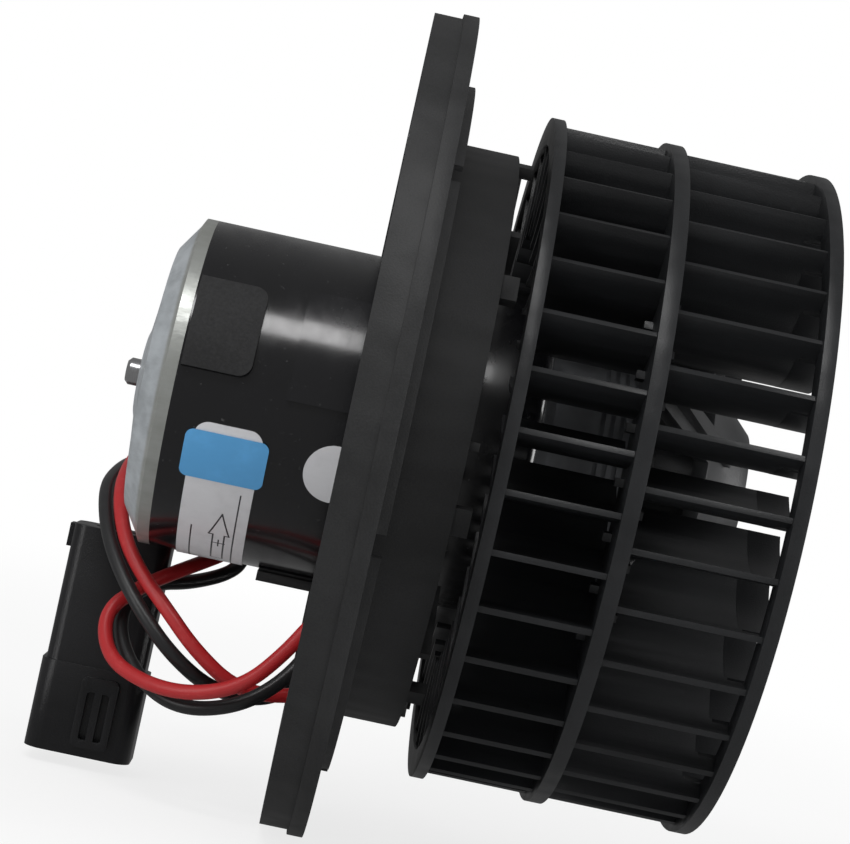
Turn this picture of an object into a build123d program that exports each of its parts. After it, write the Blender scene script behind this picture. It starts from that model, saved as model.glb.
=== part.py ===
"""Cabin blower motor with its mounting flange and two-stage squirrel-cage wheel.

Millimetres. +X runs along the shaft from the motor's rear to the wheel's inlet, +Z is up and
+Y points away from the side that carries the labels. The origin is on the shaft axis, in the
wheel-side face of the flange plate. Angles around the shaft are 0 towards -Y and grow downwards.
"""

import math
import os

from build123d import *

os.makedirs("parts", exist_ok=True)

# Motor can
can_r = 38.0
can_wall = 1.8
can_rear_x = -47.9
can_front_x = 32.0
can_corner_r = 3.0
can_front_hole_r = 19.0

# Rear end cap, a stepped pressing
cap_wall = 1.2
cap_rim_length = 2.7
cap_shoulder_r = 36.2
cap_boss_r = 9.5
cap_rear_x = -58.2
cap_dish_r = 30.5
cap_dish_depth = 2.9
cap_flat_r = 20.0
cap_flat_depth = 1.7
cap_spigot_length = 3.0
cap_rim_round = 0.9
cap_rim_draw = 0.4
cap_boss_rise = 0.5
cap_boss_flare = 1.6
cap_flat_draw = 0.5
cap_dish_draw = 0.8
cap_fit = 0.1

# Shaft and its bearings
shaft_r = 4.0
shaft_tail_r = 3.15
shaft_rear_x = -61.8
shaft_shoulder_x = -44.0
shaft_front_x = 80.0
bearing_clearance = 0.03
bearing_r = 7.0
bearing_length = 8.0
bearing_chamfer = 1.6
bearing_seat_fit = 0.1
shaft_hole_gap = 1.2
shaft_chamfer = 0.8
rear_bearing_x = -52.6
front_bearing_x = 47.0
retainer_thickness = 0.7
retainer_gap = 0.8
rear_retainer_r = 8.2
front_retainer_r = 9.6
felt_thickness = 2.0
felt_width = 2.9
felt_gap = 0.2
washer_thickness = 0.8
washer_r = 6.0
washer_end_play = 0.6

# Front bearing housing, the ribbed drum that reaches into the wheel
drum_r = 28.0
drum_wall = 2.6
drum_front_x = 54.5
drum_foot_r = 30.5
drum_foot_thickness = 2.4
drum_groove_depth = 0.9
drum_groove_width = 1.0
drum_groove_pitch = 2.2
drum_groove_count = 4
drum_edge = 1.0
drum_lip = 1.5
pocket_wall = 2.9

# Field magnets
magnet_inner_r = 25.4
magnet_length = 46.0
magnet_centre_x = -1.0
magnet_arc = 128.0
magnet_seat_gap = 0.05
clip_arc = 40.0
clip_thickness = 0.9

# Armature
stack_r = 24.8
stack_length = 38.0
stack_centre_x = -1.0
slot_count = 12
slot_width = 5.0
slot_floor_r = 14.5
slot_mouth_r = 22.0
slot_lip_width = 2.2
winding_clearance = 0.25
end_turn_length = 7.5
end_turn_inner_r = 8.0
commutator_r = 11.0
commutator_rear_x = -43.2
commutator_length = 11.0
riser_length = 2.0
riser_r = 13.0
segment_groove = 0.8

# Brushes and their card
card_r = 34.98
card_hole_r = 14.0
card_rear_x = -47.4
card_thickness = 2.0
brush_width = 7.0
brush_height = 5.2
brush_length = 13.0
brush_gap = 0.3
brush_shoe = 1.0
box_wall = 0.6
box_clearance = 0.12
box_back_r = 33.0
box_front_r = 14.5
spring_r = 2.2
spring_wire = 0.6

# Mounting flange moulding
plate_ledge = 15.5
plate_thickness = 3.5
rim_inset = 1.1
rim_wall = 2.5
rim_height = 6.5
pilot_ledge = 13.0
pilot_wall = 1.6
pilot_height = 2.5
pilot_notch_count = 6
pilot_notch_width = 5.0
pilot_first_notch = 197.0
collar_r = 67.0
collar_wall = 2.2
collar_height = 15.5
collar_lead_in = 3.2
web_thickness = 3.0
web_window_count = 8
web_window_inner_edge = 4.0
web_window_outer_edge = 4.8
web_spoke_width = 7.0
web_rib_width = 1.8
web_rib_height = 2.2
lug_height = 3.6
lug_width = 6.0
lug_depth = 2.6
lug_first_angle = 14.0
sleeve_r = 43.0
sleeve_wall = 2.3
sleeve_rear_x = -4.0
screw_ledge = 6.0
screw_count = 4
screw_first_angle = 45.0
boss_r = 6.4
bush_r = 4.2
bush_hole_r = 2.75
bush_fit = 0.05
tray_rib_count = 8
tray_rib_width = 1.8
tray_rib_gap = 3.0
tray_first_rib = 22.5
cradle_rear_x = -22.6
cradle_gap = 0.4
cradle_thickness = 2.2
cradle_front_x = -9.5
cradle_rise_x = -7.0
sleeve_lap = 0.5
cradle_width = 12.0

# Rubber ring between can and flange sleeve
isolator_rear_x = -3.6
isolator_front_x = 12.0
isolator_fit = 0.05
isolator_seat_gap = 0.1

# Flux plates, pad and labels on the can
skin_gap = 0.05
flux_thickness = 1.0
flux_rear_x = -23.6
flux_front_x = -7.0
flux_first_angle = -41.0
flux_arc = 39.3
pad_thickness = 1.7
pad_rear_x = -47.3
pad_front_x = -32.2
pad_first_angle = -37.0
pad_arc = 31.2
pad_corner_r = 3.0
label_thickness = 0.25
label_rear_x = -41.6
label_front_x = -26.4
label_first_angle = 10.5
label_arc = 84.0
label_corner_r = 3.2
sticker_rear_x = -43.3
sticker_front_x = -24.9
sticker_first_angle = 13.6
sticker_arc = 16.6
sticker_corner_r = 1.8
balance_mark_r = 6.6
balance_mark_x = -10.3
balance_mark_angle = 19.4
mark_arc = 30.0

# Two-stage wheel
ring_r = 77.2
ring_depth = 6.2
outlet_ring_x = 21.2
outlet_ring_width = 2.7
middle_ring_x = 47.8
middle_ring_width = 3.4
middle_ring_depth = 16.7
inlet_ring_x = 81.7
inlet_ring_width = 3.0
blades_per_stage = 37
first_blade_angle = 5.6
blade_tip_inset = 1.8
blade_depth = 25.3
blade_lead = 4.3
blade_curve_r = 25.0
blade_thickness = 1.3
blade_step = 3.5
blade_root = 0.6
nub_inset = 10.4
nub_width = 1.8
nub_height = 1.85

# Wheel hub
hub_cone_r = 23.0
hub_cone_x = 74.0
hub_wall = 2.4
hub_nose_r = 16.0
hub_nose_x = 81.2
hub_boss_r = 9.0
hub_boss_x = 60.0
hub_window_count = 8
hub_first_spoke = 22.5
hub_window_inner_edge = 7.0
hub_window_outer_edge = 4.5
hub_spoke_width = 9.0
hub_rib_width = 3.0
hub_rib_height = 3.2
hub_rib_foot = 1.9
hub_root_overlap = 1.0
hub_skin = 1.6
insert_r = 6.2
insert_fit = 0.02
clip_r = 7.6
wheel_clip_width = 1.4
nose_recess_depth = 3.0

# Leads, grommet and connector
lead_r = 1.7
lead_exit_x = -41.6
grommet_length = 12.6
grommet_width = 8.0
grommet_flange = 1.4
grommet_depth = 1.6
grommet_fit = 0.05
plug_centre_x = -56.3
plug_centre_y = 29.0
plug_top_z = -38.4
plug_width = 23.9
plug_depth = 17.0
plug_length = 54.2
plug_corner_r = 3.6
plug_sleeve_z = -71.2
plug_sleeve_step = 0.9
plug_cavity_depth = 20.0
plug_cavity_wall = 1.9
plug_arm_width = 9.0
plug_arm_length = 17.0
plug_arm_offset = 2.6
plug_arm_z = -81.7
arm_corner_r = 1.4
arm_window_width = 5.4
arm_window_length = 11.5
arm_window_drop = 0.8
arm_tongue_width = 1.8
plug_lug_width = 2.6
plug_lug_drop = 0.4
plug_arm_height = 1.8
plug_lug_height = 5.6
plug_lug_depth = 6.0
seal_r = 3.3
seal_length = 6.0
seal_fit = 0.04
terminal_width = 6.3
terminal_thickness = 0.8
terminal_reach = 12.0
terminal_hold = 8.0

# Lead routes, by hand
red_route = [
    (-41.6, 39.9, -2.1), (-41.6, 49.0, -2.1), (-46.1, 55.4, -6.6), (-52.3, 55.4, -13.1),
    (-56.8, 49.0, -17.6), (-57.8, 35.5, -19.2), (-58.6, 22.0, -22.5), (-58.4, 10.0, -28.5),
    (-54.5, 0.5, -37.5), (-48.5, -5.5, -44.5), (-41.0, -11.0, -50.5), (-32.5, -13.0, -58.3),
    (-21.5, -11.5, -65.4), (-9.0, -6.5, -65.2), (3.5, -8.0, -59.0), (9.0, -13.5, -50.5),
    (4.0, -18.5, -42.8), (-6.5, -21.5, -43.6), (-12.5, -22.5, -54.0), (-20.0, -23.0, -63.0),
    (-31.5, -19.8, -67.6), (-43.0, -13.0, -67.8), (-52.2, -5.0, -64.5), (-55.4, 3.0, -55.5),
    (-48.5, 6.5, -48.6), (-42.8, 8.8, -44.7), (-36.8, 15.5, -41.2), (-31.0, 26.5, -38.0),
    (-31.0, 39.5, -35.0), (-38.5, 48.5, -31.5), (-48.0, 45.8, -26.6), (-52.6, 37.5, -23.4),
    (-52.3, 29.0, -30.2), (-52.3, 29.0, -38.4),
]
black_route = [
    (-41.6, 39.9, 2.1), (-41.6, 51.0, 2.1), (-46.7, 59.7, -5.0), (-53.9, 59.7, -14.9),
    (-59.0, 51.0, -22.0), (-60.3, 38.0, -22.8), (-62.0, 26.0, -25.4), (-62.2, 15.0, -29.0),
    (-58.8, 4.0, -37.5), (-53.5, -3.5, -45.0), (-46.5, -9.5, -52.5), (-37.5, -12.0, -60.6),
    (-27.0, -8.5, -67.0), (-15.0, -1.0, -68.0), (-7.0, 6.5, -62.5), (3.0, 9.5, -56.5),
    (9.0, 1.5, -51.0), (3.0, -7.8, -47.6), (-6.0, -11.5, -51.5), (-11.5, -15.5, -61.0),
    (-20.5, -17.5, -68.4), (-33.0, -14.5, -71.9), (-43.5, -7.0, -68.4), (-50.6, 1.5, -61.0),
    (-52.0, 10.0, -53.0), (-46.0, 12.8, -47.6), (-38.0, 19.5, -46.5), (-28.5, 28.5, -42.5),
    (-27.0, 41.5, -37.5), (-35.5, 52.0, -34.5), (-47.0, 53.0, -31.0), (-56.2, 45.0, -27.4),
    (-60.3, 36.4, -25.2), (-60.3, 29.0, -30.3), (-60.3, 29.0, -38.4),
]

# Worked out from the values above
can_inner_r = can_r - can_wall
cap_rim_x = can_rear_x - cap_rim_length
cap_dish_x = cap_rear_x + cap_dish_depth
cap_flat_x = cap_rear_x + cap_flat_depth
cap_spigot_r = cap_shoulder_r - cap_wall
bearing_seat_r = bearing_r + bearing_seat_fit
rear_plate_x = rear_bearing_x + bearing_length / 2
front_plate_x = front_bearing_x - bearing_length / 2 - retainer_thickness
pocket_front_x = front_bearing_x + bearing_length / 2
middle_ring_front_x = middle_ring_x + middle_ring_width
middle_ring_inner_r = ring_r - middle_ring_depth
eye_r = ring_r - ring_depth
blade_tip_r = ring_r - blade_tip_inset
blade_heel_r = blade_tip_r - blade_depth
nub_r = ring_r - nub_inset
hub_window_inner_r = hub_cone_r + hub_window_inner_edge
hub_window_outer_r = middle_ring_inner_r - hub_window_outer_edge
collar_inner_r = collar_r - collar_wall
pilot_r = collar_r + pilot_ledge
plate_r = pilot_r + plate_ledge
rim_r = plate_r - rim_inset
screw_circle_r = pilot_r + screw_ledge
tray_rib_inner_r = collar_r + tray_rib_gap
web_rear_x = collar_height - web_thickness
web_window_inner_r = sleeve_r + web_window_inner_edge
web_window_outer_r = collar_inner_r - web_window_outer_edge
web_window_r = (web_window_inner_r + web_window_outer_r) / 2
web_window_depth = web_window_outer_r - web_window_inner_r
rim_inner_r = rim_r - rim_wall
rim_rear_x = -plate_thickness - rim_height
sleeve_inner_r = sleeve_r - sleeve_wall
isolator_outer_r = sleeve_inner_r - isolator_seat_gap
cradle_top_z = -can_r - cradle_gap
cradle_bottom_z = cradle_top_z - cradle_thickness
sleeve_lip_z = -sleeve_r + cradle_thickness
isolator_r = can_r + isolator_fit
card_front_x = card_rear_x + card_thickness
plug_body_length = plug_top_z - plug_sleeve_z
sleeve_width = plug_width + 2 * plug_sleeve_step
sleeve_depth = plug_depth + 2 * plug_sleeve_step
cavity_width = plug_width - 2 * plug_cavity_wall
cavity_depth = plug_depth - 2 * plug_cavity_wall
brush_x = card_front_x + box_clearance + box_wall + brush_width / 2
brush_inner_r = commutator_r + brush_gap
brush_outer_r = brush_inner_r + brush_length
spring_length = box_back_r - box_wall - brush_outer_r


def spoke_plane(angle):
    """Plane through the shaft axis whose local Y points out of the shaft at an angle."""
    outward = Vector(0, -math.cos(math.radians(angle)), -math.sin(math.radians(angle)))
    return Plane(origin=(0, 0, 0), x_dir=(1, 0, 0), z_dir=Vector(1, 0, 0).cross(outward))


def band(x_from, x_to, r_in, r_out, angle=180.0):
    """Rectangle from one radius to another: the half section of a plain ring."""
    with BuildSketch(spoke_plane(angle)) as section:
        with Locations(((x_from + x_to) / 2, (r_in + r_out) / 2)):
            Rectangle(x_to - x_from, r_out - r_in)
    return section.sketch


def half_section(*corners):
    """Closed outline in (x, radius), to be turned about the shaft axis."""
    with BuildSketch(Plane.XY) as section:
        with BuildLine():
            Polyline(*corners, close=True)
        make_face()
    return section.sketch


def curved_patch(x_from, x_to, r_in, thickness, angle, arc):
    """Even skin that covers an arc of a cylinder, from an angle on."""
    with BuildPart() as patch:
        revolve(band(x_from, x_to, r_in, r_in + thickness, angle), axis=Axis.X, revolution_arc=arc)
    return patch.part


def short_edges(length):
    """Filter for the edges that run through a skin of this thickness."""
    return lambda edge: abs(edge.length - length) < 0.01


def plain_ring(x_from, x_to, r_in, r_out):
    """Plain ring about the shaft, for washers, felts and retainers."""
    with BuildPart() as ring:
        revolve(band(x_from, x_to, r_in, r_out), axis=Axis.X)
    return ring.part


# Motor can: a drawn cup, open at the rear
with BuildPart() as motor_can:
    revolve(
        half_section(
            (can_rear_x, can_inner_r),
            (can_rear_x, can_r),
            (can_front_x, can_r),
            (can_front_x, can_front_hole_r),
            (can_front_x - can_wall, can_front_hole_r),
            (can_front_x - can_wall, can_inner_r),
        ),
        axis=Axis.X,
    )
    front_edges = motor_can.edges().filter_by(GeomType.CIRCLE).group_by(Axis.X)[-1]
    fillet(front_edges.sort_by(SortBy.RADIUS)[-1], can_corner_r)
    with BuildSketch(Plane.XZ) as exit_slot:
        with Locations((lead_exit_x, 0)):
            SlotOverall(
                grommet_length - 2 * grommet_flange,
                grommet_width - 2 * grommet_flange,
                rotation=90,
            )
    extrude(amount=-(can_r + 1), mode=Mode.SUBTRACT)
motor_can.part.label = "motor_can"
export_step(motor_can.part, "parts/motor_can.step")

# Rear end cap: a stepped dish whose middle holds the rear bearing
with BuildPart() as rear_end_cap:
    revolve(
        half_section(
            (can_rear_x, can_inner_r - cap_fit),
            (can_rear_x, can_r),
            (cap_rim_x, can_r),
            (cap_rim_x - cap_rim_round, cap_shoulder_r),
            (cap_dish_x, cap_dish_r),
            (cap_flat_x, cap_flat_r),
            (cap_rear_x + cap_boss_rise, cap_boss_r + cap_boss_flare),
            (cap_rear_x, cap_boss_r),
            (cap_rear_x, shaft_tail_r + shaft_hole_gap),
            (cap_rear_x + cap_wall, shaft_tail_r + shaft_hole_gap),
            (cap_rear_x + cap_wall, bearing_seat_r),
            (rear_plate_x, bearing_seat_r),
            (rear_plate_x, bearing_seat_r + cap_wall),
            (cap_flat_x + cap_wall, bearing_seat_r + cap_wall),
            (cap_flat_x + cap_wall, cap_flat_r - cap_flat_draw),
            (cap_dish_x + cap_wall, cap_dish_r - cap_dish_draw),
            (cap_rim_x + cap_rim_draw, cap_spigot_r),
            (can_rear_x + cap_spigot_length, cap_spigot_r),
            (can_rear_x + cap_spigot_length, can_inner_r - cap_fit),
        ),
        axis=Axis.X,
    )
rear_end_cap.part.label = "rear_end_cap"
export_step(rear_end_cap.part, "parts/rear_end_cap.step")

# Shaft, with a smaller tail that shows through the end cap
with BuildPart() as shaft:
    revolve(
        half_section(
            (shaft_rear_x, 0),
            (shaft_rear_x, shaft_tail_r - shaft_chamfer),
            (shaft_rear_x + shaft_chamfer, shaft_tail_r),
            (shaft_shoulder_x, shaft_tail_r),
            (shaft_shoulder_x, shaft_r),
            (shaft_front_x - shaft_chamfer, shaft_r),
            (shaft_front_x, shaft_r - shaft_chamfer),
            (shaft_front_x, 0),
        ),
        axis=Axis.X,
    )
shaft.part.label = "shaft"
export_step(shaft.part, "parts/shaft.step")


def bearing_bush(centre_x, bore_r):
    """Sintered bush with chamfered ends."""
    half = bearing_length / 2
    with BuildPart() as bush:
        revolve(
            half_section(
                (centre_x - half, bore_r),
                (centre_x - half, bearing_r - bearing_chamfer),
                (centre_x - half + bearing_chamfer, bearing_r),
                (centre_x + half - bearing_chamfer, bearing_r),
                (centre_x + half, bearing_r - bearing_chamfer),
                (centre_x + half, bore_r),
            ),
            axis=Axis.X,
        )
    return bush.part


with BuildPart() as rear_bearing:
    add(bearing_bush(rear_bearing_x, shaft_tail_r + bearing_clearance))
rear_bearing.part.label = "rear_bearing"
export_step(rear_bearing.part, "parts/rear_bearing.step")

with BuildPart() as front_bearing:
    add(bearing_bush(front_bearing_x, shaft_r + bearing_clearance))
front_bearing.part.label = "front_bearing"
export_step(front_bearing.part, "parts/front_bearing.step")

# Spring plates that hold the bushes in their pockets
with BuildPart() as rear_bearing_retainer:
    add(
        plain_ring(
            rear_plate_x,
            rear_plate_x + retainer_thickness,
            shaft_r + retainer_gap,
            rear_retainer_r,
        )
    )
rear_bearing_retainer.part.label = "rear_bearing_retainer"
export_step(rear_bearing_retainer.part, "parts/rear_bearing_retainer.step")

with BuildPart() as front_bearing_retainer:
    add(
        plain_ring(
            front_plate_x,
            front_plate_x + retainer_thickness,
            shaft_r + retainer_gap,
            front_retainer_r,
        )
    )
front_bearing_retainer.part.label = "front_bearing_retainer"
export_step(front_bearing_retainer.part, "parts/front_bearing_retainer.step")

# Front bearing housing: a grooved drum on the can's front wall, with the bearing pocket inside
drum_foot_x = can_front_x + drum_foot_thickness
pocket_rear_x = front_plate_x + retainer_thickness
with BuildPart() as front_bearing_housing:
    revolve(
        half_section(
            (can_front_x, can_front_hole_r - drum_lip),
            (can_front_x, drum_foot_r),
            (drum_foot_x, drum_foot_r),
            (drum_foot_x, drum_r),
            (drum_front_x - drum_edge, drum_r),
            (drum_front_x, drum_r - drum_edge),
            (drum_front_x, shaft_r + shaft_hole_gap),
            (pocket_front_x, shaft_r + shaft_hole_gap),
            (pocket_front_x, bearing_seat_r),
            (pocket_rear_x, bearing_seat_r),
            (pocket_rear_x, bearing_seat_r + pocket_wall),
            (pocket_front_x, bearing_seat_r + pocket_wall),
            (pocket_front_x, drum_r - drum_wall),
            (drum_foot_x, drum_r - drum_wall),
            (drum_foot_x, can_front_hole_r - drum_lip),
        ),
        axis=Axis.X,
    )
    for groove in range(drum_groove_count):
        groove_x = drum_front_x - 2 * drum_edge - groove * drum_groove_pitch
        revolve(
            band(groove_x - drum_groove_width, groove_x, drum_r - drum_groove_depth, drum_r + 1),
            axis=Axis.X,
            mode=Mode.SUBTRACT,
        )
front_bearing_housing.part.label = "front_bearing_housing"
export_step(front_bearing_housing.part, "parts/front_bearing_housing.step")

# Oil felts around the two bushes
front_felt_r = bearing_seat_r + pocket_wall
rear_felt_r = bearing_seat_r + cap_wall + felt_gap
with BuildPart() as oil_felts:
    add(
        plain_ring(
            pocket_front_x - felt_thickness,
            pocket_front_x,
            front_felt_r,
            front_felt_r + felt_width,
        )
    )
    add(plain_ring(rear_plate_x - felt_thickness, rear_plate_x, rear_felt_r, rear_felt_r + felt_width))
oil_felts.part.label = "oil_felts"
export_step(oil_felts.part, "parts/oil_felts.step")

# Thrust washers on the shaft
rear_washer_x = rear_plate_x + retainer_thickness + washer_end_play
front_washer_x = front_plate_x - washer_end_play
with BuildPart() as thrust_washers:
    add(plain_ring(rear_washer_x, rear_washer_x + washer_thickness, shaft_tail_r, washer_r))
    add(plain_ring(front_washer_x - washer_thickness, front_washer_x, shaft_r, washer_r))
thrust_washers.part.label = "thrust_washers"
export_step(thrust_washers.part, "parts/thrust_washers.step")

# Field magnets, upper and lower, and the spring clips that spread them apart
magnet_rear_x = magnet_centre_x - magnet_length / 2
magnet_front_x = magnet_centre_x + magnet_length / 2
magnet_outer_r = can_inner_r - magnet_seat_gap
magnet_depth = magnet_outer_r - magnet_inner_r
with BuildPart() as upper_magnet:
    add(
        curved_patch(
            magnet_rear_x,
            magnet_front_x,
            magnet_inner_r,
            magnet_depth,
            -90 - magnet_arc / 2,
            magnet_arc,
        )
    )
upper_magnet.part.label = "upper_magnet"
export_step(upper_magnet.part, "parts/upper_magnet.step")

with BuildPart() as lower_magnet:
    add(
        curved_patch(
            magnet_rear_x,
            magnet_front_x,
            magnet_inner_r,
            magnet_depth,
            90 - magnet_arc / 2,
            magnet_arc,
        )
    )
lower_magnet.part.label = "lower_magnet"
export_step(lower_magnet.part, "parts/lower_magnet.step")

clip_inner_r = magnet_outer_r - clip_thickness
with BuildPart() as magnet_clips:
    add(curved_patch(magnet_rear_x, magnet_front_x, clip_inner_r, clip_thickness, -clip_arc / 2, clip_arc))
    add(
        curved_patch(
            magnet_rear_x,
            magnet_front_x,
            clip_inner_r,
            clip_thickness,
            180 - clip_arc / 2,
            clip_arc,
        )
    )
magnet_clips.part.label = "magnet_clips"
export_step(magnet_clips.part, "parts/magnet_clips.step")

# Armature stack: a slotted cylinder pressed on the shaft
stack_rear_x = stack_centre_x - stack_length / 2
stack_front_x = stack_centre_x + stack_length / 2
with BuildPart() as armature_stack:
    revolve(band(stack_rear_x, stack_front_x, shaft_r, stack_r), axis=Axis.X)
    with BuildSketch(Plane.YZ.offset(stack_rear_x)) as slots:
        with PolarLocations((slot_floor_r + slot_mouth_r) / 2, slot_count):
            Rectangle(slot_mouth_r - slot_floor_r, slot_width)
        with PolarLocations(slot_mouth_r, slot_count):
            Rectangle(2 * (stack_r - slot_mouth_r) + 1, slot_lip_width)
    extrude(amount=stack_length, mode=Mode.SUBTRACT)
armature_stack.part.label = "armature_stack"
export_step(armature_stack.part, "parts/armature_stack.step")

# Windings: bars in the slots joined by the end turns
end_turn_outer_r = slot_mouth_r - winding_clearance
end_turn_rear_x = stack_rear_x - end_turn_length
end_turn_front_x = stack_front_x + end_turn_length
bar_depth = slot_mouth_r - slot_floor_r - 2 * winding_clearance
with BuildPart() as armature_windings:
    with BuildSketch(Plane.YZ.offset(end_turn_rear_x)) as slot_bars:
        with PolarLocations((slot_floor_r + slot_mouth_r) / 2, slot_count):
            Rectangle(bar_depth, slot_width - 2 * winding_clearance)
    extrude(amount=end_turn_front_x - end_turn_rear_x)
    add(plain_ring(end_turn_rear_x, stack_rear_x - winding_clearance, end_turn_inner_r, end_turn_outer_r))
    add(plain_ring(stack_front_x + winding_clearance, end_turn_front_x, end_turn_inner_r, end_turn_outer_r))
armature_windings.part.label = "armature_windings"
export_step(armature_windings.part, "parts/armature_windings.step")

# Commutator with its riser and the grooves between its segments
commutator_front_x = commutator_rear_x + commutator_length
with BuildPart() as commutator:
    revolve(
        half_section(
            (commutator_rear_x, shaft_r),
            (commutator_rear_x, commutator_r),
            (commutator_front_x, commutator_r),
            (commutator_front_x, riser_r),
            (commutator_front_x + riser_length, riser_r),
            (commutator_front_x + riser_length, shaft_r),
        ),
        axis=Axis.X,
    )
    with BuildSketch(Plane.YZ.offset(commutator_rear_x)) as grooves:
        with PolarLocations(riser_r, slot_count, start_angle=180 / slot_count):
            Rectangle(2 * (riser_r - commutator_r + segment_groove), segment_groove)
    extrude(amount=commutator_length + riser_length, mode=Mode.SUBTRACT)
commutator.part.label = "commutator"
export_step(commutator.part, "parts/commutator.step")

# Brush card: a ring that carries the two brush boxes
with BuildPart() as brush_card:
    add(plain_ring(card_rear_x, card_front_x, card_hole_r, card_r))
brush_card.part.label = "brush_card"
export_step(brush_card.part, "parts/brush_card.step")


def brush_box(side):
    """Folded box on the brush card, open towards the commutator; side is 1 up, -1 down."""
    middle = side * (box_front_r + box_back_r) / 2
    outer_x = brush_width + 2 * (box_clearance + box_wall)
    outer_y = brush_height + 2 * (box_clearance + box_wall)
    with BuildPart() as box:
        with Locations((brush_x, 0, middle)):
            Box(outer_x, outer_y, box_back_r - box_front_r)
        with Locations((brush_x, 0, middle - side * box_wall)):
            Box(
                outer_x - 2 * box_wall,
                outer_y - 2 * box_wall,
                box_back_r - box_front_r,
                mode=Mode.SUBTRACT,
            )
    return box.part


def carbon_brush(side):
    """Carbon block whose end follows the commutator."""
    foot = brush_inner_r - brush_shoe
    with BuildPart() as brush:
        with Locations((brush_x, 0, side * (foot + brush_outer_r) / 2)):
            Box(brush_width, brush_height, brush_outer_r - foot)
        revolve(
            band(brush_x - brush_width, brush_x + brush_width, 0, brush_inner_r),
            axis=Axis.X,
            mode=Mode.SUBTRACT,
        )
    return brush.part.solids().sort_by(Axis.Z)[-1 if side > 0 else 0]


def brush_spring(side):
    """Spring between a brush and the back of its box."""
    middle = side * (brush_outer_r + spring_length / 2)
    with BuildPart() as spring:
        with BuildSketch(Plane.XY.offset(middle - spring_length / 2)):
            with Locations((brush_x, 0)):
                Circle(spring_r)
                Circle(spring_r - spring_wire, mode=Mode.SUBTRACT)
        extrude(amount=spring_length)
    return spring.part


with BuildPart() as upper_brush_box:
    add(brush_box(1))
upper_brush_box.part.label = "upper_brush_box"
export_step(upper_brush_box.part, "parts/upper_brush_box.step")

with BuildPart() as lower_brush_box:
    add(brush_box(-1))
lower_brush_box.part.label = "lower_brush_box"
export_step(lower_brush_box.part, "parts/lower_brush_box.step")

with BuildPart() as upper_brush:
    add(carbon_brush(1))
upper_brush.part.label = "upper_brush"
export_step(upper_brush.part, "parts/upper_brush.step")

with BuildPart() as lower_brush:
    add(carbon_brush(-1))
lower_brush.part.label = "lower_brush"
export_step(lower_brush.part, "parts/lower_brush.step")

with BuildPart() as upper_brush_spring:
    add(brush_spring(1))
upper_brush_spring.part.label = "upper_brush_spring"
export_step(upper_brush_spring.part, "parts/upper_brush_spring.step")

with BuildPart() as lower_brush_spring:
    add(brush_spring(-1))
lower_brush_spring.part.label = "lower_brush_spring"
export_step(lower_brush_spring.part, "parts/lower_brush_spring.step")

# Mounting flange: one moulding with rim, tray, pilot, collar, end web, motor sleeve and cradle
with BuildPart() as mounting_flange:
    revolve(
        half_section(
            (-plate_thickness, collar_inner_r + collar_lead_in),
            (-plate_thickness, rim_inner_r),
            (rim_rear_x, rim_inner_r),
            (rim_rear_x, rim_r),
            (-plate_thickness, rim_r),
            (-plate_thickness, plate_r),
            (0, plate_r),
            (0, pilot_r),
            (pilot_height, pilot_r),
            (pilot_height, pilot_r - pilot_wall),
            (0, pilot_r - pilot_wall),
            (0, collar_r),
            (collar_height, collar_r),
            (collar_height, sleeve_inner_r),
            (sleeve_rear_x, sleeve_inner_r),
            (sleeve_rear_x, sleeve_r),
            (web_rear_x, sleeve_r),
            (web_rear_x, collar_inner_r),
            (0, collar_inner_r),
        ),
        axis=Axis.X,
    )
    with BuildSketch(Plane.YZ.offset(web_rear_x)) as web_windows:
        Circle(web_window_outer_r)
        Circle(web_window_inner_r, mode=Mode.SUBTRACT)
        with PolarLocations(web_window_r, web_window_count):
            Rectangle(web_window_depth + web_spoke_width, web_spoke_width, mode=Mode.SUBTRACT)
    extrude(amount=web_thickness, mode=Mode.SUBTRACT)
    with BuildSketch(Plane.YZ.offset(collar_height)) as web_ribs:
        with PolarLocations((sleeve_r + collar_r) / 2, web_window_count):
            Rectangle(collar_r - sleeve_r - 2 * collar_wall, web_rib_width)
    extrude(amount=web_rib_height)
    with BuildSketch(Plane.YZ.offset(collar_height)) as end_lugs:
        with PolarLocations(collar_r - lug_depth, web_window_count, start_angle=lug_first_angle):
            Rectangle(lug_depth, lug_width)
    extrude(amount=lug_height)
    with BuildSketch(Plane.YZ.offset(pilot_height)) as pilot_notches:
        with PolarLocations(pilot_r - pilot_wall / 2, pilot_notch_count, start_angle=pilot_first_notch):
            Rectangle(2 * pilot_wall, pilot_notch_width)
    extrude(amount=-pilot_height, mode=Mode.SUBTRACT)
    with BuildSketch(Plane.YZ.offset(-plate_thickness)) as tray_ribs:
        with PolarLocations((tray_rib_inner_r + rim_r) / 2, tray_rib_count, start_angle=tray_first_rib):
            Rectangle(rim_r - tray_rib_inner_r - rim_wall, tray_rib_width)
        with PolarLocations(screw_circle_r, screw_count, start_angle=screw_first_angle):
            Circle(boss_r)
    extrude(amount=-rim_height)
    with BuildSketch(Plane.YZ.offset(rim_rear_x)) as bush_seats:
        with PolarLocations(screw_circle_r, screw_count, start_angle=screw_first_angle):
            Circle(bush_r + bush_fit)
    extrude(amount=plate_thickness + rim_height, mode=Mode.SUBTRACT)
    with BuildSketch(Plane.XZ.offset(-cradle_width / 2)) as cradle:
        with BuildLine():
            Polyline(
                (cradle_rear_x, cradle_top_z),
                (cradle_rear_x, cradle_bottom_z),
                (cradle_front_x, cradle_bottom_z),
                (cradle_rise_x, -sleeve_r),
                (sleeve_rear_x + sleeve_lap, -sleeve_r),
                (sleeve_rear_x + sleeve_lap, sleeve_lip_z),
                (sleeve_rear_x - sleeve_lap, sleeve_lip_z),
                (sleeve_rear_x - sleeve_lap, cradle_top_z),
                close=True,
            )
        make_face()
    extrude(amount=cradle_width)
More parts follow.
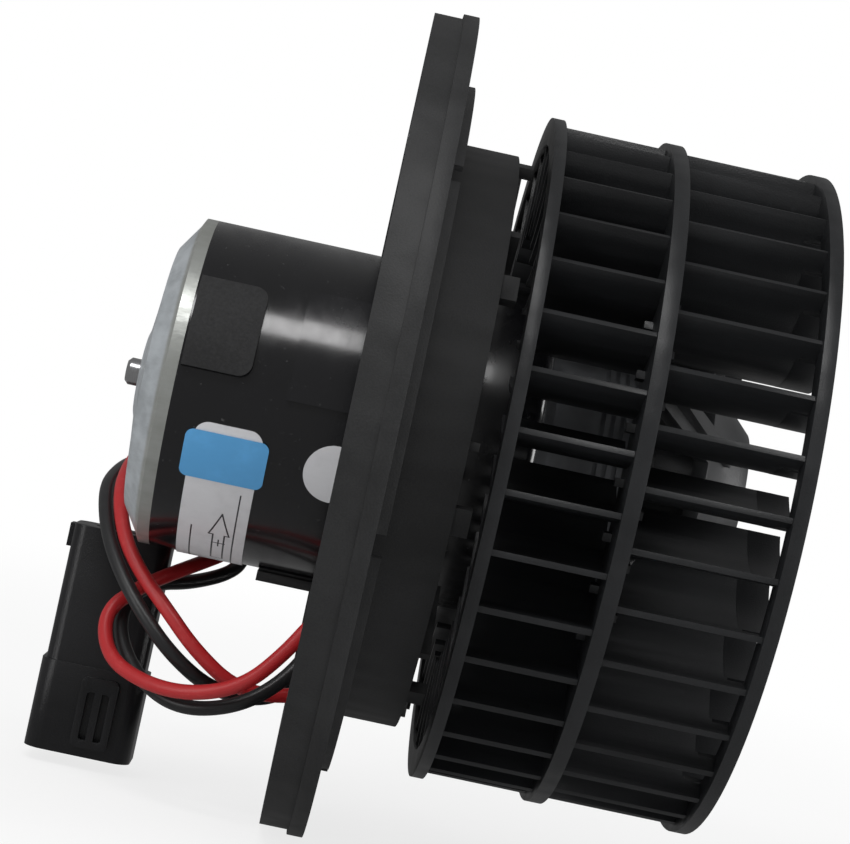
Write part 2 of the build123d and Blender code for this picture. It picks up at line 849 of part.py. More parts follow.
mounting_flange.part.label = "mounting_flange"
export_step(mounting_flange.part, "parts/mounting_flange.step")

# Steel compression bushes in the flange's screw bosses
with BuildPart() as screw_bushes:
    with BuildSketch(Plane.YZ.offset(rim_rear_x)) as bush_rings:
        with PolarLocations(screw_circle_r, screw_count, start_angle=screw_first_angle):
            Circle(bush_r)
            Circle(bush_hole_r, mode=Mode.SUBTRACT)
    extrude(amount=plate_thickness + rim_height)
screw_bushes.part.label = "screw_bushes"
export_step(screw_bushes.part, "parts/screw_bushes.step")

# Rubber ring that holds the can in the flange's sleeve
with BuildPart() as isolation_ring:
    add(plain_ring(isolator_rear_x, isolator_front_x, isolator_r, isolator_outer_r))
isolation_ring.part.label = "isolation_ring"
export_step(isolation_ring.part, "parts/isolation_ring.step")

# Flux plates: thin steel shells on two sides of the can
skin_r = can_r + skin_gap
with BuildPart() as near_flux_plate:
    add(curved_patch(flux_rear_x, flux_front_x, skin_r, flux_thickness, flux_first_angle, flux_arc))
near_flux_plate.part.label = "near_flux_plate"
export_step(near_flux_plate.part, "parts/near_flux_plate.step")

with BuildPart() as far_flux_plate:
    add(curved_patch(flux_rear_x, flux_front_x, skin_r, flux_thickness, flux_first_angle + 180, flux_arc))
far_flux_plate.part.label = "far_flux_plate"
export_step(far_flux_plate.part, "parts/far_flux_plate.step")

# Soft pad behind the end cap's rim
with BuildPart() as can_pad:
    add(curved_patch(pad_rear_x, pad_front_x, skin_r, pad_thickness, pad_first_angle, pad_arc))
    fillet(can_pad.edges().filter_by(short_edges(pad_thickness)).group_by(Axis.X)[-1], pad_corner_r)
can_pad.part.label = "can_pad"
export_step(can_pad.part, "parts/can_pad.step")

# Paper label round the can, the blue sticker over it and the round mark beside them
with BuildPart() as rating_label:
    add(curved_patch(label_rear_x, label_front_x, skin_r, label_thickness, label_first_angle, label_arc))
    fillet(rating_label.edges().filter_by(short_edges(label_thickness)), label_corner_r)
rating_label.part.label = "rating_label"
export_step(rating_label.part, "parts/rating_label.step")

sticker_r = skin_r + label_thickness + skin_gap
with BuildPart() as blue_sticker:
    add(
        curved_patch(
            sticker_rear_x,
            sticker_front_x,
            sticker_r,
            label_thickness,
            sticker_first_angle,
            sticker_arc,
        )
    )
    fillet(blue_sticker.edges().filter_by(short_edges(label_thickness)), sticker_corner_r)
blue_sticker.part.label = "blue_sticker"
export_step(blue_sticker.part, "parts/blue_sticker.step")

with BuildPart() as balance_mark:
    mark_rear_x = balance_mark_x - balance_mark_r
    mark_front_x = balance_mark_x + balance_mark_r
    mark_first_angle = balance_mark_angle - mark_arc / 2
    add(curved_patch(mark_rear_x, mark_front_x, skin_r, label_thickness, mark_first_angle, mark_arc))
    mark_axis = spoke_plane(balance_mark_angle).y_dir
    with BuildSketch(Plane(origin=(balance_mark_x, 0, 0), x_dir=(1, 0, 0), z_dir=mark_axis)):
        Circle(balance_mark_r)
    extrude(amount=2 * can_r, mode=Mode.INTERSECT)
balance_mark.part.label = "balance_mark"
export_step(balance_mark.part, "parts/balance_mark.step")


def blade_outline():
    """One blade cut across the shaft: an arc of even thickness whose heel leads its tip."""
    tip = Vector(blade_tip_r, 0)
    heel = Vector(blade_heel_r, 0).rotate(Axis.Z, -blade_lead)
    chord = tip - heel
    rise = math.sqrt(blade_curve_r**2 - (chord.length / 2) ** 2)
    across = Vector(0, 0, 1).cross(chord).normalized()
    centre = (tip + heel) * 0.5 - across * rise
    half_turn = math.degrees(math.asin(chord.length / 2 / blade_curve_r))
    middle = math.degrees(math.atan2(across.Y, across.X))
    with BuildSketch() as outline:
        with BuildLine():
            back = CenterArc(centre, blade_curve_r + blade_thickness / 2, middle - half_turn, 2 * half_turn)
            face = CenterArc(centre, blade_curve_r - blade_thickness / 2, middle - half_turn, 2 * half_turn)
            Line(back @ 0, face @ 0)
            Line(back @ 1, face @ 1)
        make_face()
    return outline.sketch


# Blades of both stages, the second half a pitch on, stepped back behind the inlet ring's eye
blade = blade_outline()
blade_pitch = 360 / blades_per_stage
stage_one_angle = 180 + first_blade_angle
stage_two_angle = stage_one_angle + blade_pitch / 2
with BuildPart() as wheel_blades:
    with BuildSketch(Plane.YZ.offset(outlet_ring_x + blade_root)) as stage_one:
        with PolarLocations(0, blades_per_stage, start_angle=stage_one_angle):
            add(blade)
    extrude(amount=middle_ring_x - outlet_ring_x)
    with BuildSketch(Plane.YZ.offset(middle_ring_front_x - blade_root)) as stage_two:
        with PolarLocations(0, blades_per_stage, start_angle=stage_two_angle):
            add(blade)
    extrude(amount=inlet_ring_x - middle_ring_front_x + 2 * blade_root)
    revolve(
        band(inlet_ring_x - blade_step, inlet_ring_x + inlet_ring_width, 0, eye_r),
        axis=Axis.X,
        mode=Mode.SUBTRACT,
    )

# Wheel: an open hub cone with ribs, three rings, the blades and the nubs beside the middle ring
recess_floor_x = hub_nose_x - nose_recess_depth
insert_seat_r = insert_r + insert_fit
hub_root_r = middle_ring_inner_r + hub_root_overlap
hub_window_r = (hub_window_inner_r + hub_window_outer_r) / 2
hub_window_width = hub_window_outer_r - hub_window_inner_r
hub_spoke_pitch = 360 / hub_window_count
with BuildPart() as blower_wheel:
    revolve(
        half_section(
            (middle_ring_x, middle_ring_inner_r),
            (middle_ring_x, hub_root_r),
            (middle_ring_front_x, hub_root_r),
            (middle_ring_front_x, middle_ring_inner_r),
            (hub_cone_x, hub_cone_r),
            (hub_nose_x, hub_nose_r),
            (hub_nose_x, hub_boss_r),
            (recess_floor_x, hub_boss_r),
            (recess_floor_x, insert_seat_r),
            (hub_boss_x, insert_seat_r),
            (hub_boss_x, hub_boss_r),
            (recess_floor_x - hub_wall, hub_boss_r),
            (recess_floor_x - hub_wall, hub_nose_r - hub_skin),
            (hub_cone_x - hub_wall, hub_cone_r - hub_skin),
        ),
        axis=Axis.X,
    )
    with BuildSketch(Plane.YZ.offset(middle_ring_x)) as hub_windows:
        Circle(hub_window_outer_r)
        Circle(hub_window_inner_r, mode=Mode.SUBTRACT)
        with PolarLocations(hub_window_r, hub_window_count, start_angle=hub_first_spoke):
            Rectangle(hub_window_width + hub_spoke_width, hub_spoke_width, mode=Mode.SUBTRACT)
    extrude(amount=hub_cone_x - middle_ring_x, mode=Mode.SUBTRACT)
    for spoke in range(hub_window_count):
        with BuildSketch(spoke_plane(hub_first_spoke + spoke * hub_spoke_pitch)) as hub_rib:
            with BuildLine():
                Polyline(
                    (middle_ring_front_x - blade_root, hub_root_r - blade_root),
                    (middle_ring_front_x + hub_rib_height, hub_root_r - blade_root),
                    (hub_cone_x + hub_rib_foot, hub_cone_r - blade_root),
                    (hub_cone_x - blade_root, hub_cone_r - blade_root),
                    close=True,
                )
            make_face()
        extrude(amount=hub_rib_width / 2, both=True)
    add(plain_ring(outlet_ring_x, outlet_ring_x + outlet_ring_width, eye_r, ring_r))
    add(plain_ring(middle_ring_x, middle_ring_front_x, middle_ring_inner_r, ring_r))
    add(plain_ring(inlet_ring_x, inlet_ring_x + inlet_ring_width, eye_r, ring_r))
    with BuildSketch(Plane.YZ.offset(middle_ring_x - nub_height)) as outlet_side_nubs:
        with PolarLocations(nub_r, blades_per_stage, start_angle=stage_two_angle):
            Rectangle(nub_width, nub_width)
    extrude(amount=nub_height + blade_root)
    with BuildSketch(Plane.YZ.offset(middle_ring_front_x - blade_root)) as inlet_side_nubs:
        with PolarLocations(nub_r, blades_per_stage, start_angle=stage_one_angle):
            Rectangle(nub_width, nub_width)
    extrude(amount=nub_height + blade_root)
    add(wheel_blades.part)
blower_wheel.part.label = "blower_wheel"
export_step(blower_wheel.part, "parts/blower_wheel.step")

# Steel insert moulded into the hub, and the clip that holds the wheel on the shaft
with BuildPart() as hub_insert:
    add(plain_ring(hub_boss_x, recess_floor_x, shaft_r, insert_r))
hub_insert.part.label = "hub_insert"
export_step(hub_insert.part, "parts/hub_insert.step")

with BuildPart() as wheel_clip:
    add(plain_ring(recess_floor_x, recess_floor_x + wheel_clip_width, shaft_r, clip_r))
wheel_clip.part.label = "wheel_clip"
export_step(wheel_clip.part, "parts/wheel_clip.step")

# Rubber grommet in the can's slot; the two leads meet its outer face
grommet_face_y = red_route[0][1]
grommet_plane = Plane(origin=(lead_exit_x, grommet_face_y, 0), x_dir=(0, 0, 1), z_dir=(0, -1, 0))
with BuildPart() as lead_grommet:
    with BuildSketch(grommet_plane):
        SlotOverall(grommet_length, grommet_width)
    extrude(amount=grommet_face_y - can_r - skin_gap)
    with BuildSketch(grommet_plane):
        SlotOverall(
            grommet_length - 2 * grommet_flange - 2 * grommet_fit,
            grommet_width - 2 * grommet_flange - 2 * grommet_fit,
        )
    extrude(amount=grommet_face_y - can_inner_r + grommet_depth)
lead_grommet.part.label = "lead_grommet"
export_step(lead_grommet.part, "parts/lead_grommet.step")


def corner_radii(route):
    """Largest radius that each corner's shorter run allows."""
    points = [Vector(*point) for point in route]
    radii = []
    for before, corner, after in zip(points, points[1:], points[2:]):
        run_in = corner - before
        run_out = after - corner
        half_turn = math.radians(run_in.get_angle(run_out)) / 2
        radii.append(0.45 * min(run_in.length, run_out.length) / math.tan(half_turn))
    return radii


def lead(route):
    """Insulated lead: straight runs joined by tangent arcs."""
    with BuildPart() as tube:
        with BuildLine() as path:
            FilletPolyline(*route, radius=corner_radii(route))
        with BuildSketch(Plane(origin=path.wire() @ 0, z_dir=path.wire() % 0)):
            Circle(lead_r)
        sweep()
    length = path.wire().length
    print(f"lead length {length:.1f}, tube volume {tube.part.volume:.1f}, section x length "
          f"{math.pi * lead_r**2 * length:.1f}, radii {[round(r, 1) for r in corner_radii(route)]}")
    return tube.part


with BuildPart() as red_lead:
    add(lead(red_route))
red_lead.part.label = "red_lead"
export_step(red_lead.part, "parts/red_lead.step")

with BuildPart() as black_lead:
    add(lead(black_route))
black_lead.part.label = "black_lead"
export_step(black_lead.part, "parts/black_lead.step")

# Connector housing: a rounded body with a wider mating sleeve, a lock arm and a lug at the wire end
plug_top = Plane(origin=(plug_centre_x, plug_centre_y, plug_top_z), x_dir=(1, 0, 0), z_dir=(0, 0, -1))
red_entry_x = red_route[-1][0] - plug_centre_x
black_entry_x = black_route[-1][0] - plug_centre_x
with BuildPart() as connector_housing:
    with BuildSketch(plug_top):
        RectangleRounded(plug_width, plug_depth, plug_corner_r)
    extrude(amount=plug_length)
    with BuildSketch(plug_top.offset(plug_body_length)):
        RectangleRounded(sleeve_width, sleeve_depth, plug_corner_r + plug_sleeve_step)
    extrude(amount=plug_length - plug_body_length)
    with BuildSketch(plug_top.offset(plug_length - plug_cavity_depth)):
        RectangleRounded(cavity_width, cavity_depth, plug_corner_r - plug_cavity_wall)
    extrude(amount=plug_cavity_depth, mode=Mode.SUBTRACT)
    with BuildSketch(plug_top):
        with Locations((red_entry_x, 0), (black_entry_x, 0)):
            Circle(seal_r + seal_fit)
    extrude(amount=seal_length, mode=Mode.SUBTRACT)
    with BuildSketch(plug_top.offset(plug_length - plug_cavity_depth - terminal_hold)):
        with Locations((red_entry_x, 0), (black_entry_x, 0)):
            Rectangle(terminal_width, terminal_thickness)
    extrude(amount=terminal_hold, mode=Mode.SUBTRACT)
    with BuildSketch(plug_top.offset(plug_lug_drop)):
        with Locations((-plug_width / 2, 0)):
            Rectangle(plug_lug_width, plug_lug_depth)
    extrude(amount=plug_lug_height)
connector_housing.part.label = "connector_housing"
export_step(connector_housing.part, "parts/connector_housing.step")

# Lock arm on the connector's near side, a bridge with a tongue in it
arm_origin = (plug_centre_x + plug_arm_offset, plug_centre_y - sleeve_depth / 2, plug_arm_z)
with BuildPart() as connector_lock:
    with BuildSketch(Plane(origin=arm_origin, x_dir=(1, 0, 0), z_dir=(0, -1, 0))):
        RectangleRounded(plug_arm_width, plug_arm_length, arm_corner_r)
        with Locations((0, -arm_window_drop)):
            RectangleRounded(arm_window_width, arm_window_length, arm_corner_r / 2, mode=Mode.SUBTRACT)
        Rectangle(arm_tongue_width, plug_arm_length - arm_corner_r)
    extrude(amount=plug_arm_height)
connector_lock.part.label = "connector_lock"
export_step(connector_lock.part, "parts/connector_lock.step")

# Rubber seals round the leads and the two blade terminals
with BuildPart() as wire_seals:
    with BuildSketch(plug_top):
        with Locations((red_entry_x, 0), (black_entry_x, 0)):
            Circle(seal_r)
    extrude(amount=seal_length)
wire_seals.part.label = "wire_seals"
export_step(wire_seals.part, "parts/wire_seals.step")

with BuildPart() as blade_terminals:
    with BuildSketch(plug_top.offset(plug_length - plug_cavity_depth - terminal_hold)):
        with Locations((red_entry_x, 0), (black_entry_x, 0)):
            Rectangle(terminal_width, terminal_thickness)
    extrude(amount=terminal_hold + terminal_reach)
blade_terminals.part.label = "blade_terminals"
export_step(blade_terminals.part, "parts/blade_terminals.step")
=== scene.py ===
"""Cabin blower motor: finishes, leads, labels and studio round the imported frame."""

import math

import bpy
from mathutils import Matrix, Vector


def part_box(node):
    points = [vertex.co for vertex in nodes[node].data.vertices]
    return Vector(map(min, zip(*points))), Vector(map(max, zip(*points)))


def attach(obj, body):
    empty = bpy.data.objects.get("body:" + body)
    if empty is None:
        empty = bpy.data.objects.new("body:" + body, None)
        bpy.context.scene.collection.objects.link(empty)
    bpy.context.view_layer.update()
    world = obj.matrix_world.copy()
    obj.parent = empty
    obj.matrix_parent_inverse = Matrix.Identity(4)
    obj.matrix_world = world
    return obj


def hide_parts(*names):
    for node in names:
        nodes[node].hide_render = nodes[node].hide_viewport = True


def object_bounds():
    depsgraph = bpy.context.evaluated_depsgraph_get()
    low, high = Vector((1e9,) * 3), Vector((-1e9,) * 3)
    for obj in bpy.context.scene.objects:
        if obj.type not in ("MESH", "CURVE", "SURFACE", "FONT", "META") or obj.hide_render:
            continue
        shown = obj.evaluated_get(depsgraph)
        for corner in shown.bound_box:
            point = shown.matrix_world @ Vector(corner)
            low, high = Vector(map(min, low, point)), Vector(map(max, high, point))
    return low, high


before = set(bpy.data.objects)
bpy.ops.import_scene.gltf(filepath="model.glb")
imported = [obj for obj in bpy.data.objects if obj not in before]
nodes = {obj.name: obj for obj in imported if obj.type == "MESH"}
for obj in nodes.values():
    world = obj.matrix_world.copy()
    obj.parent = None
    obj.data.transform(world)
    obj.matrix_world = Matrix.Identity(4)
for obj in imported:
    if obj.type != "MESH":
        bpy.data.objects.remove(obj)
cad_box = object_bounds()

bl_info = {
    "name": "Cabin Blower Motor",
    "version": (1, 0, 0),
    "blender": (4, 5, 0),
    "location": "View3D > Sidebar > Blower",
    "description": "Finishes, leads, labels and studio of a cabin blower motor",
    "category": "Object",
}

# Routes of the two leads, in metres, from the grommet to the connector
RED_ROUTE = [
    (-0.0416, 0.0399, -0.0021), (-0.0416, 0.049, -0.0021), (-0.0461, 0.0554, -0.0066),
    (-0.0523, 0.0554, -0.0131), (-0.0568, 0.049, -0.0176), (-0.0578, 0.0355, -0.0192),
    (-0.0586, 0.022, -0.0225), (-0.0584, 0.01, -0.0285), (-0.0545, 0.0005, -0.0375),
    (-0.0485, -0.0055, -0.0445), (-0.041, -0.011, -0.0505), (-0.0325, -0.013, -0.0583),
    (-0.0215, -0.0115, -0.0654), (-0.009, -0.0065, -0.0652), (0.0035, -0.008, -0.059),
    (0.009, -0.0135, -0.0505), (0.004, -0.0185, -0.0428), (-0.0065, -0.0215, -0.0436),
    (-0.0125, -0.0225, -0.054), (-0.02, -0.023, -0.063), (-0.0315, -0.0198, -0.0676),
    (-0.043, -0.013, -0.0678), (-0.0522, -0.005, -0.0645), (-0.0554, 0.003, -0.0555),
    (-0.0485, 0.0065, -0.0486), (-0.0428, 0.0088, -0.0447), (-0.0368, 0.0155, -0.0412),
    (-0.031, 0.0265, -0.038), (-0.031, 0.0395, -0.035), (-0.0385, 0.0485, -0.0315),
    (-0.048, 0.0458, -0.0266), (-0.0526, 0.0375, -0.0234), (-0.0523, 0.029, -0.0302),
    (-0.0523, 0.029, -0.0384),
]
BLACK_ROUTE = [
    (-0.0416, 0.0399, 0.0021), (-0.0416, 0.051, 0.0021), (-0.0467, 0.0597, -0.005),
    (-0.0539, 0.0597, -0.0149), (-0.059, 0.051, -0.022), (-0.0603, 0.038, -0.0228),
    (-0.062, 0.026, -0.0254), (-0.0622, 0.015, -0.029), (-0.0588, 0.004, -0.0375),
    (-0.0535, -0.0035, -0.045), (-0.0465, -0.0095, -0.0525), (-0.0375, -0.012, -0.0606),
    (-0.027, -0.0085, -0.067), (-0.015, -0.001, -0.068), (-0.007, 0.0065, -0.0625),
    (0.003, 0.0095, -0.0565), (0.009, 0.0015, -0.051), (0.003, -0.0078, -0.0476),
    (-0.006, -0.0115, -0.0515), (-0.0115, -0.0155, -0.061), (-0.0205, -0.0175, -0.0684),
    (-0.033, -0.0145, -0.0719), (-0.0435, -0.007, -0.0684), (-0.0506, 0.0015, -0.061),
    (-0.052, 0.01, -0.053), (-0.046, 0.0128, -0.0476), (-0.038, 0.0195, -0.0465),
    (-0.0285, 0.0285, -0.0425), (-0.027, 0.0415, -0.0375), (-0.0355, 0.052, -0.0345),
    (-0.047, 0.053, -0.031), (-0.0562, 0.045, -0.0274), (-0.0603, 0.0364, -0.0252),
    (-0.0603, 0.029, -0.0303), (-0.0603, 0.029, -0.0384),
]

# Print on the rating label: x in metres and degrees down from the can's near side
ARROW = (
    (-0.0322, 43.5), (-0.0300, 54.8), (-0.0310, 54.8), (-0.0310, 76.0),
    (-0.0336, 76.0), (-0.0336, 54.8), (-0.0346, 54.8),
)
CROSS = (
    ((-0.0322, 58.0), (-0.0322, 62.6)),
    ((-0.0336, 60.3), (-0.0308, 60.3)),
)
# Rule lines of the label: inset from its edge in metres, first and last angle in degrees
FRONT_RULE = (0.0026, 34.0, 92.0)
REAR_RULE = (0.0030, 52.0, 90.0)
PRINT_RADIUS = 0.03832
PRINT_STEP = 0.0012

# Inlet blades, in metres and degrees, as the solids have them but a touch thicker
BLADE_COUNT = 37
BLADE_ZERO = 180 + 5.6
BLADE_TIP = 0.0754
BLADE_HEEL = 0.0501
BLADE_LEAD = 4.3
BLADE_CURVE = 0.025
BLADE_THICKNESS = 0.00136
BLADE_STEPS = 12
INLET_EYE = 0.07115
INLET_FACE_X = 0.0847
SOLID_BLADE_END_X = 0.0777

# Smooth shading breaks at this angle, and edges sharper than the second are rounded
SHARP_ANGLE = 35.0
ROUND_ANGLE = 40.0
WELD_GAP = 0.00001

EVEN = (1.0, 1.0, 1.0)
WHITE = (1.0, 1.0, 1.0)
# Bare metals: colour, least and most roughness, scale of the tool marks and their stretch
METALS = {
    "bush_steel": ((0.52, 0.53, 0.55), 0.28, 0.45, 700.0, EVEN),
    "insert_steel": ((0.5, 0.5, 0.52), 0.25, 0.42, 800.0, EVEN),
    "housing_casting": ((0.42, 0.43, 0.45), 0.38, 0.55, 420.0, EVEN),
    "shaft_steel": ((0.60, 0.60, 0.61), 0.16, 0.30, 1500.0, (3.0, 0.3, 0.3)),
    "spring_steel": ((0.45, 0.45, 0.47), 0.25, 0.4, 900.0, EVEN),
    "bearing_bronze": ((0.50, 0.31, 0.15), 0.4, 0.6, 900.0, EVEN),
    "core_sheet": ((0.33, 0.34, 0.36), 0.35, 0.5, 2500.0, (4.0, 0.3, 0.3)),
    "copper_wire": ((0.62, 0.26, 0.11), 0.3, 0.45, 1600.0, EVEN),
    "box_brass": ((0.66, 0.50, 0.22), 0.25, 0.4, 800.0, EVEN),
    "terminal_tin": ((0.66, 0.66, 0.64), 0.2, 0.35, 900.0, EVEN),
}
# Matte stocks: colour, roughness, scale of the grain and strength of its relief
STOCKS = {
    "ring_rubber": ((0.022, 0.022, 0.022), 0.75, 900.0, 0.2),
    "pad_foam": ((0.020, 0.020, 0.021), 0.70, 1400.0, 0.3),
    "brush_carbon": ((0.035, 0.034, 0.034), 0.6, 1200.0, 0.2),
    "magnet_ferrite": ((0.07, 0.07, 0.075), 0.65, 900.0, 0.2),
    "oil_felt": ((0.32, 0.26, 0.16), 0.85, 1500.0, 0.5),
    "card_phenolic": ((0.16, 0.08, 0.04), 0.55, 700.0, 0.15),
}

# Lamps: power setting and share of it, width and height, place and aim in metres
LAMPS = {
    "key_lamp": ("key_power", 1.0, (0.7, 0.25), (-0.20, -0.62, 0.85), (0.0, 0.0, 0.0)),
    "side_lamp": ("side_power", 2.4, (0.4, 0.6), (0.85, -0.10, 0.10), (0.06, 0.0, -0.02)),
    "left_lamp": ("side_power", 0.8, (0.25, 0.7), (-0.75, -0.55, 0.20), (-0.03, 0.0, 0.0)),
}
# The floor reaches this far, lies this far under the part, and its real shadow and a painted grey halo
# round the part fade out between two radii
FLOOR_REACH = 4
FLOOR_GAP = 0.0002
SHADOW_FADE = (0.15, 0.70)

# The photograph's camera: place in metres, view, and lens and sensor in millimetres
CAMERA_PLACE = (-0.01100, -0.55794, 0.00285)
CAMERA_FORWARD = (0.03371, 0.99943, 0.0)
CAMERA_UP = (-0.21172, 0.00717, 0.97730)
CAMERA_LENS = 102.31
CAMERA_SENSOR = 36.0


class BlowerColours(bpy.types.PropertyGroup):
    """Colours of the motor's pieces."""

    flange: bpy.props.FloatVectorProperty(
        name="Flange", description="Moulded flange",
        subtype="COLOR", size=3, min=0, max=1, default=(0.019, 0.0193, 0.020))
    wheel: bpy.props.FloatVectorProperty(
        name="Wheel", description="Moulded wheel",
        subtype="COLOR", size=3, min=0, max=1, default=(0.0135, 0.0142, 0.0155))
    can: bpy.props.FloatVectorProperty(
        name="Can", description="Gloss paint of the motor can",
        subtype="COLOR", size=3, min=0, max=1, default=(0.005, 0.005, 0.006))
    zinc: bpy.props.FloatVectorProperty(
        name="Zinc", description="Zinc plate of the end cap",
        subtype="COLOR", size=3, min=0, max=1, default=(0.60, 0.64, 0.67))
    passivate: bpy.props.FloatVectorProperty(
        name="Passivate", description="Yellow tint at the cap's rim",
        subtype="COLOR", size=3, min=0, max=1, default=(0.30, 0.295, 0.24))
    red_lead: bpy.props.FloatVectorProperty(
        name="Red lead", description="Insulation of the red lead",
        subtype="COLOR", size=3, min=0, max=1, default=(0.44, 0.018, 0.021))
    black_lead: bpy.props.FloatVectorProperty(
        name="Black lead", description="Insulation of the black lead",
        subtype="COLOR", size=3, min=0, max=1, default=(0.018, 0.018, 0.019))
    connector: bpy.props.FloatVectorProperty(
        name="Connector", description="Moulded connector",
        subtype="COLOR", size=3, min=0, max=1, default=(0.008, 0.008, 0.009))
    label: bpy.props.FloatVectorProperty(
        name="Label", description="White film of the labels",
        subtype="COLOR", size=3, min=0, max=1, default=(0.66, 0.66, 0.68))
    sticker: bpy.props.FloatVectorProperty(
        name="Sticker", description="Blue film of the sticker",
        subtype="COLOR", size=3, min=0, max=1, default=(0.085, 0.34, 0.66))
    ink: bpy.props.FloatVectorProperty(
        name="Ink", description="Printing on the label",
        subtype="COLOR", size=3, min=0, max=1, default=(0.03, 0.03, 0.035))


class BlowerSizes(bpy.types.PropertyGroup):
    """Sizes of the pieces that this file adds."""

    lead_diameter: bpy.props.FloatProperty(
        name="Lead diameter", description="Outside of a lead's insulation",
        unit="LENGTH", min=0.001, default=0.0034)
    print_line: bpy.props.FloatProperty(
        name="Print line", description="Width of a printed line",
        unit="LENGTH", min=0.0001, default=0.00036)
    edge_round: bpy.props.FloatProperty(
        name="Edge round", description="Radius that softens moulded edges",
        unit="LENGTH", min=0.0, default=0.00028)


class BlowerStudio(bpy.types.PropertyGroup):
    """Light and floor of the studio."""

    key_power: bpy.props.FloatProperty(
        name="Key", description="Power of the large lamp over the camera",
        unit="POWER", min=0, default=4.5)
    side_power: bpy.props.FloatProperty(
        name="Side", description="Power that the lamps at both sides are shares of",
        unit="POWER", min=0, default=2.0)
    world_strength: bpy.props.FloatProperty(
        name="World", description="Strength of the even light", min=0, default=0.55)
    floor_colour: bpy.props.FloatVectorProperty(
        name="Floor", description="Colour of floor and backdrop",
        subtype="COLOR", size=3, min=0, max=1, default=(0.86, 0.86, 0.86))
    mirrored: bpy.props.FloatProperty(
        name="Mirrored", description="Brightness of floor and air in reflections",
        min=0, default=0.22)
    # Share of lit floor seen near the part: its real shadow and a painted grey halo round the part
    floor_shadow: bpy.props.FloatProperty(
        name="Floor shadow", description="How much of the lit floor, and so of its shadow, is seen",
        subtype="FACTOR", min=0, max=1, default=0.22)


class Channel:
    """What a node gives out, with arithmetic that adds Math nodes."""

    def __init__(self, recipe, socket):
        self.recipe = recipe
        self.socket = socket

    def maths(self, operation, first, second):
        return self.recipe.node("ShaderNodeMath", {"operation": operation}, {0: first, 1: second})

    def __add__(self, other):
        return self.maths("ADD", self, other)

    def __radd__(self, other):
        return self.maths("ADD", other, self)

    def __sub__(self, other):
        return self.maths("SUBTRACT", self, other)

    def __rsub__(self, other):
        return self.maths("SUBTRACT", other, self)

    def __mul__(self, other):
        return self.maths("MULTIPLY", self, other)

    def __rmul__(self, other):
        return self.maths("MULTIPLY", other, self)

    def __pow__(self, other):
        return self.maths("POWER", self, other)

    def __rpow__(self, other):
        return self.maths("POWER", other, self)

    def larger(self, other):
        return self.maths("MAXIMUM", self, other)

    def step(self, low, high):
        """0 below low, 1 above high, smooth between."""
        return self.recipe.node(
            "ShaderNodeMapRange", {"interpolation_type": "SMOOTHSTEP"},
            {"Value": self, "From Min": low, "From Max": high, "To Min": 0.0, "To Max": 1.0})

    def span(self, low, high):
        """Stretches 0 to 1 over low to high."""
        return self.recipe.node(
            "ShaderNodeMapRange", {}, {"Value": self, "To Min": low, "To Max": high})


class Recipe:
    """The nodes of a material or of the studio's air."""

    def __init__(self, tree):
        self.tree = tree

    def fill(self, socket, value):
        """Links a socket to a channel, or sets it to a number or colour."""
        if isinstance(value, Channel):
            self.tree.links.new(value.socket, socket)
        elif socket.type == "RGBA":
            socket.default_value = (*value, 1.0)
        else:
            socket.default_value = value

    def node(self, kind, settings=None, values=None, out=0):
        """Adds a node with its settings and its sockets' values or links, and gives one output."""
        made = self.tree.nodes.new(kind)
        for name, value in (settings or {}).items():
            setattr(made, name, value)
        for key, value in (values or {}).items():
            self.fill(made.inputs[key], value)
        return Channel(self, made.outputs[out])

    def ray(self, kind):
        """1 for rays of a kind and 0 for the others."""
        return self.node("ShaderNodeLightPath", out=kind)


class Finish(Recipe):
    """A material built from nodes."""

    def __init__(self, name, **fixed):
        self.material = bpy.data.materials.new(name)
        self.material.use_nodes = True
        super().__init__(self.material.node_tree)
        self.surface = self.tree.nodes["Principled BSDF"]
        self.set(**fixed)

    def set(self, **values):
        """Sets or links sockets of the surface shader; underscores stand for spaces."""
        for key, value in values.items():
            socket = key.replace("_", " ").title().replace("Ior", "IOR")
            self.fill(self.surface.inputs[socket], value)

    def place(self, stretch=EVEN):
        """Object coordinates, stretched along the axes."""
        point = self.node("ShaderNodeTexCoord", out="Object")
        if stretch == EVEN:
            return point
        return self.node("ShaderNodeVectorMath", {"operation": "MULTIPLY"}, {0: point, 1: stretch})

    def axes(self):
        """x, y and z of a point in metres, as three channels."""
        point = self.place()
        return [self.node("ShaderNodeSeparateXYZ", {}, {0: point}, out=axis) for axis in "XYZ"]

    def noise(self, scale, detail=3.0, roughness=0.55, stretch=EVEN):
        return self.node("ShaderNodeTexNoise", {}, {
            "Vector": self.place(stretch), "Scale": scale, "Detail": detail, "Roughness": roughness})

    def cells(self, scale):
        return self.node("ShaderNodeTexVoronoi", {}, {"Vector": self.place(), "Scale": scale})

    def blend(self, factor, first, second):
        """Colour between two colours."""
        return self.node(
            "ShaderNodeMix", {"data_type": "RGBA"}, {0: factor, 6: first, 7: second}, out=2)

    def relief(self, height, strength, depth):
        """Bumps the surface by a height channel; depth is in metres."""
        self.set(normal=self.node("ShaderNodeBump", {}, {
            "Height": height, "Strength": strength, "Distance": depth}))


def reach(first, second):
    """Distance from an axis, out of the two channels across it."""
    return (first * first + second * second) ** 0.5


def shade(colour, factor):
    return tuple(min(1.0, part * factor) for part in colour)


def smooth(data):
    """Shades a mesh smooth up to its edges."""
    data.polygons.foreach_set("use_smooth", [True] * len(data.polygons))
    data.set_sharp_from_angle(angle=math.radians(SHARP_ANGLE))


def dress(finish, *names):
    """Gives CAD nodes a finish and smooth shading."""
    for name in names:
        data = nodes[name].data
        data.materials.clear()
        data.materials.append(finish.material)
        smooth(data)


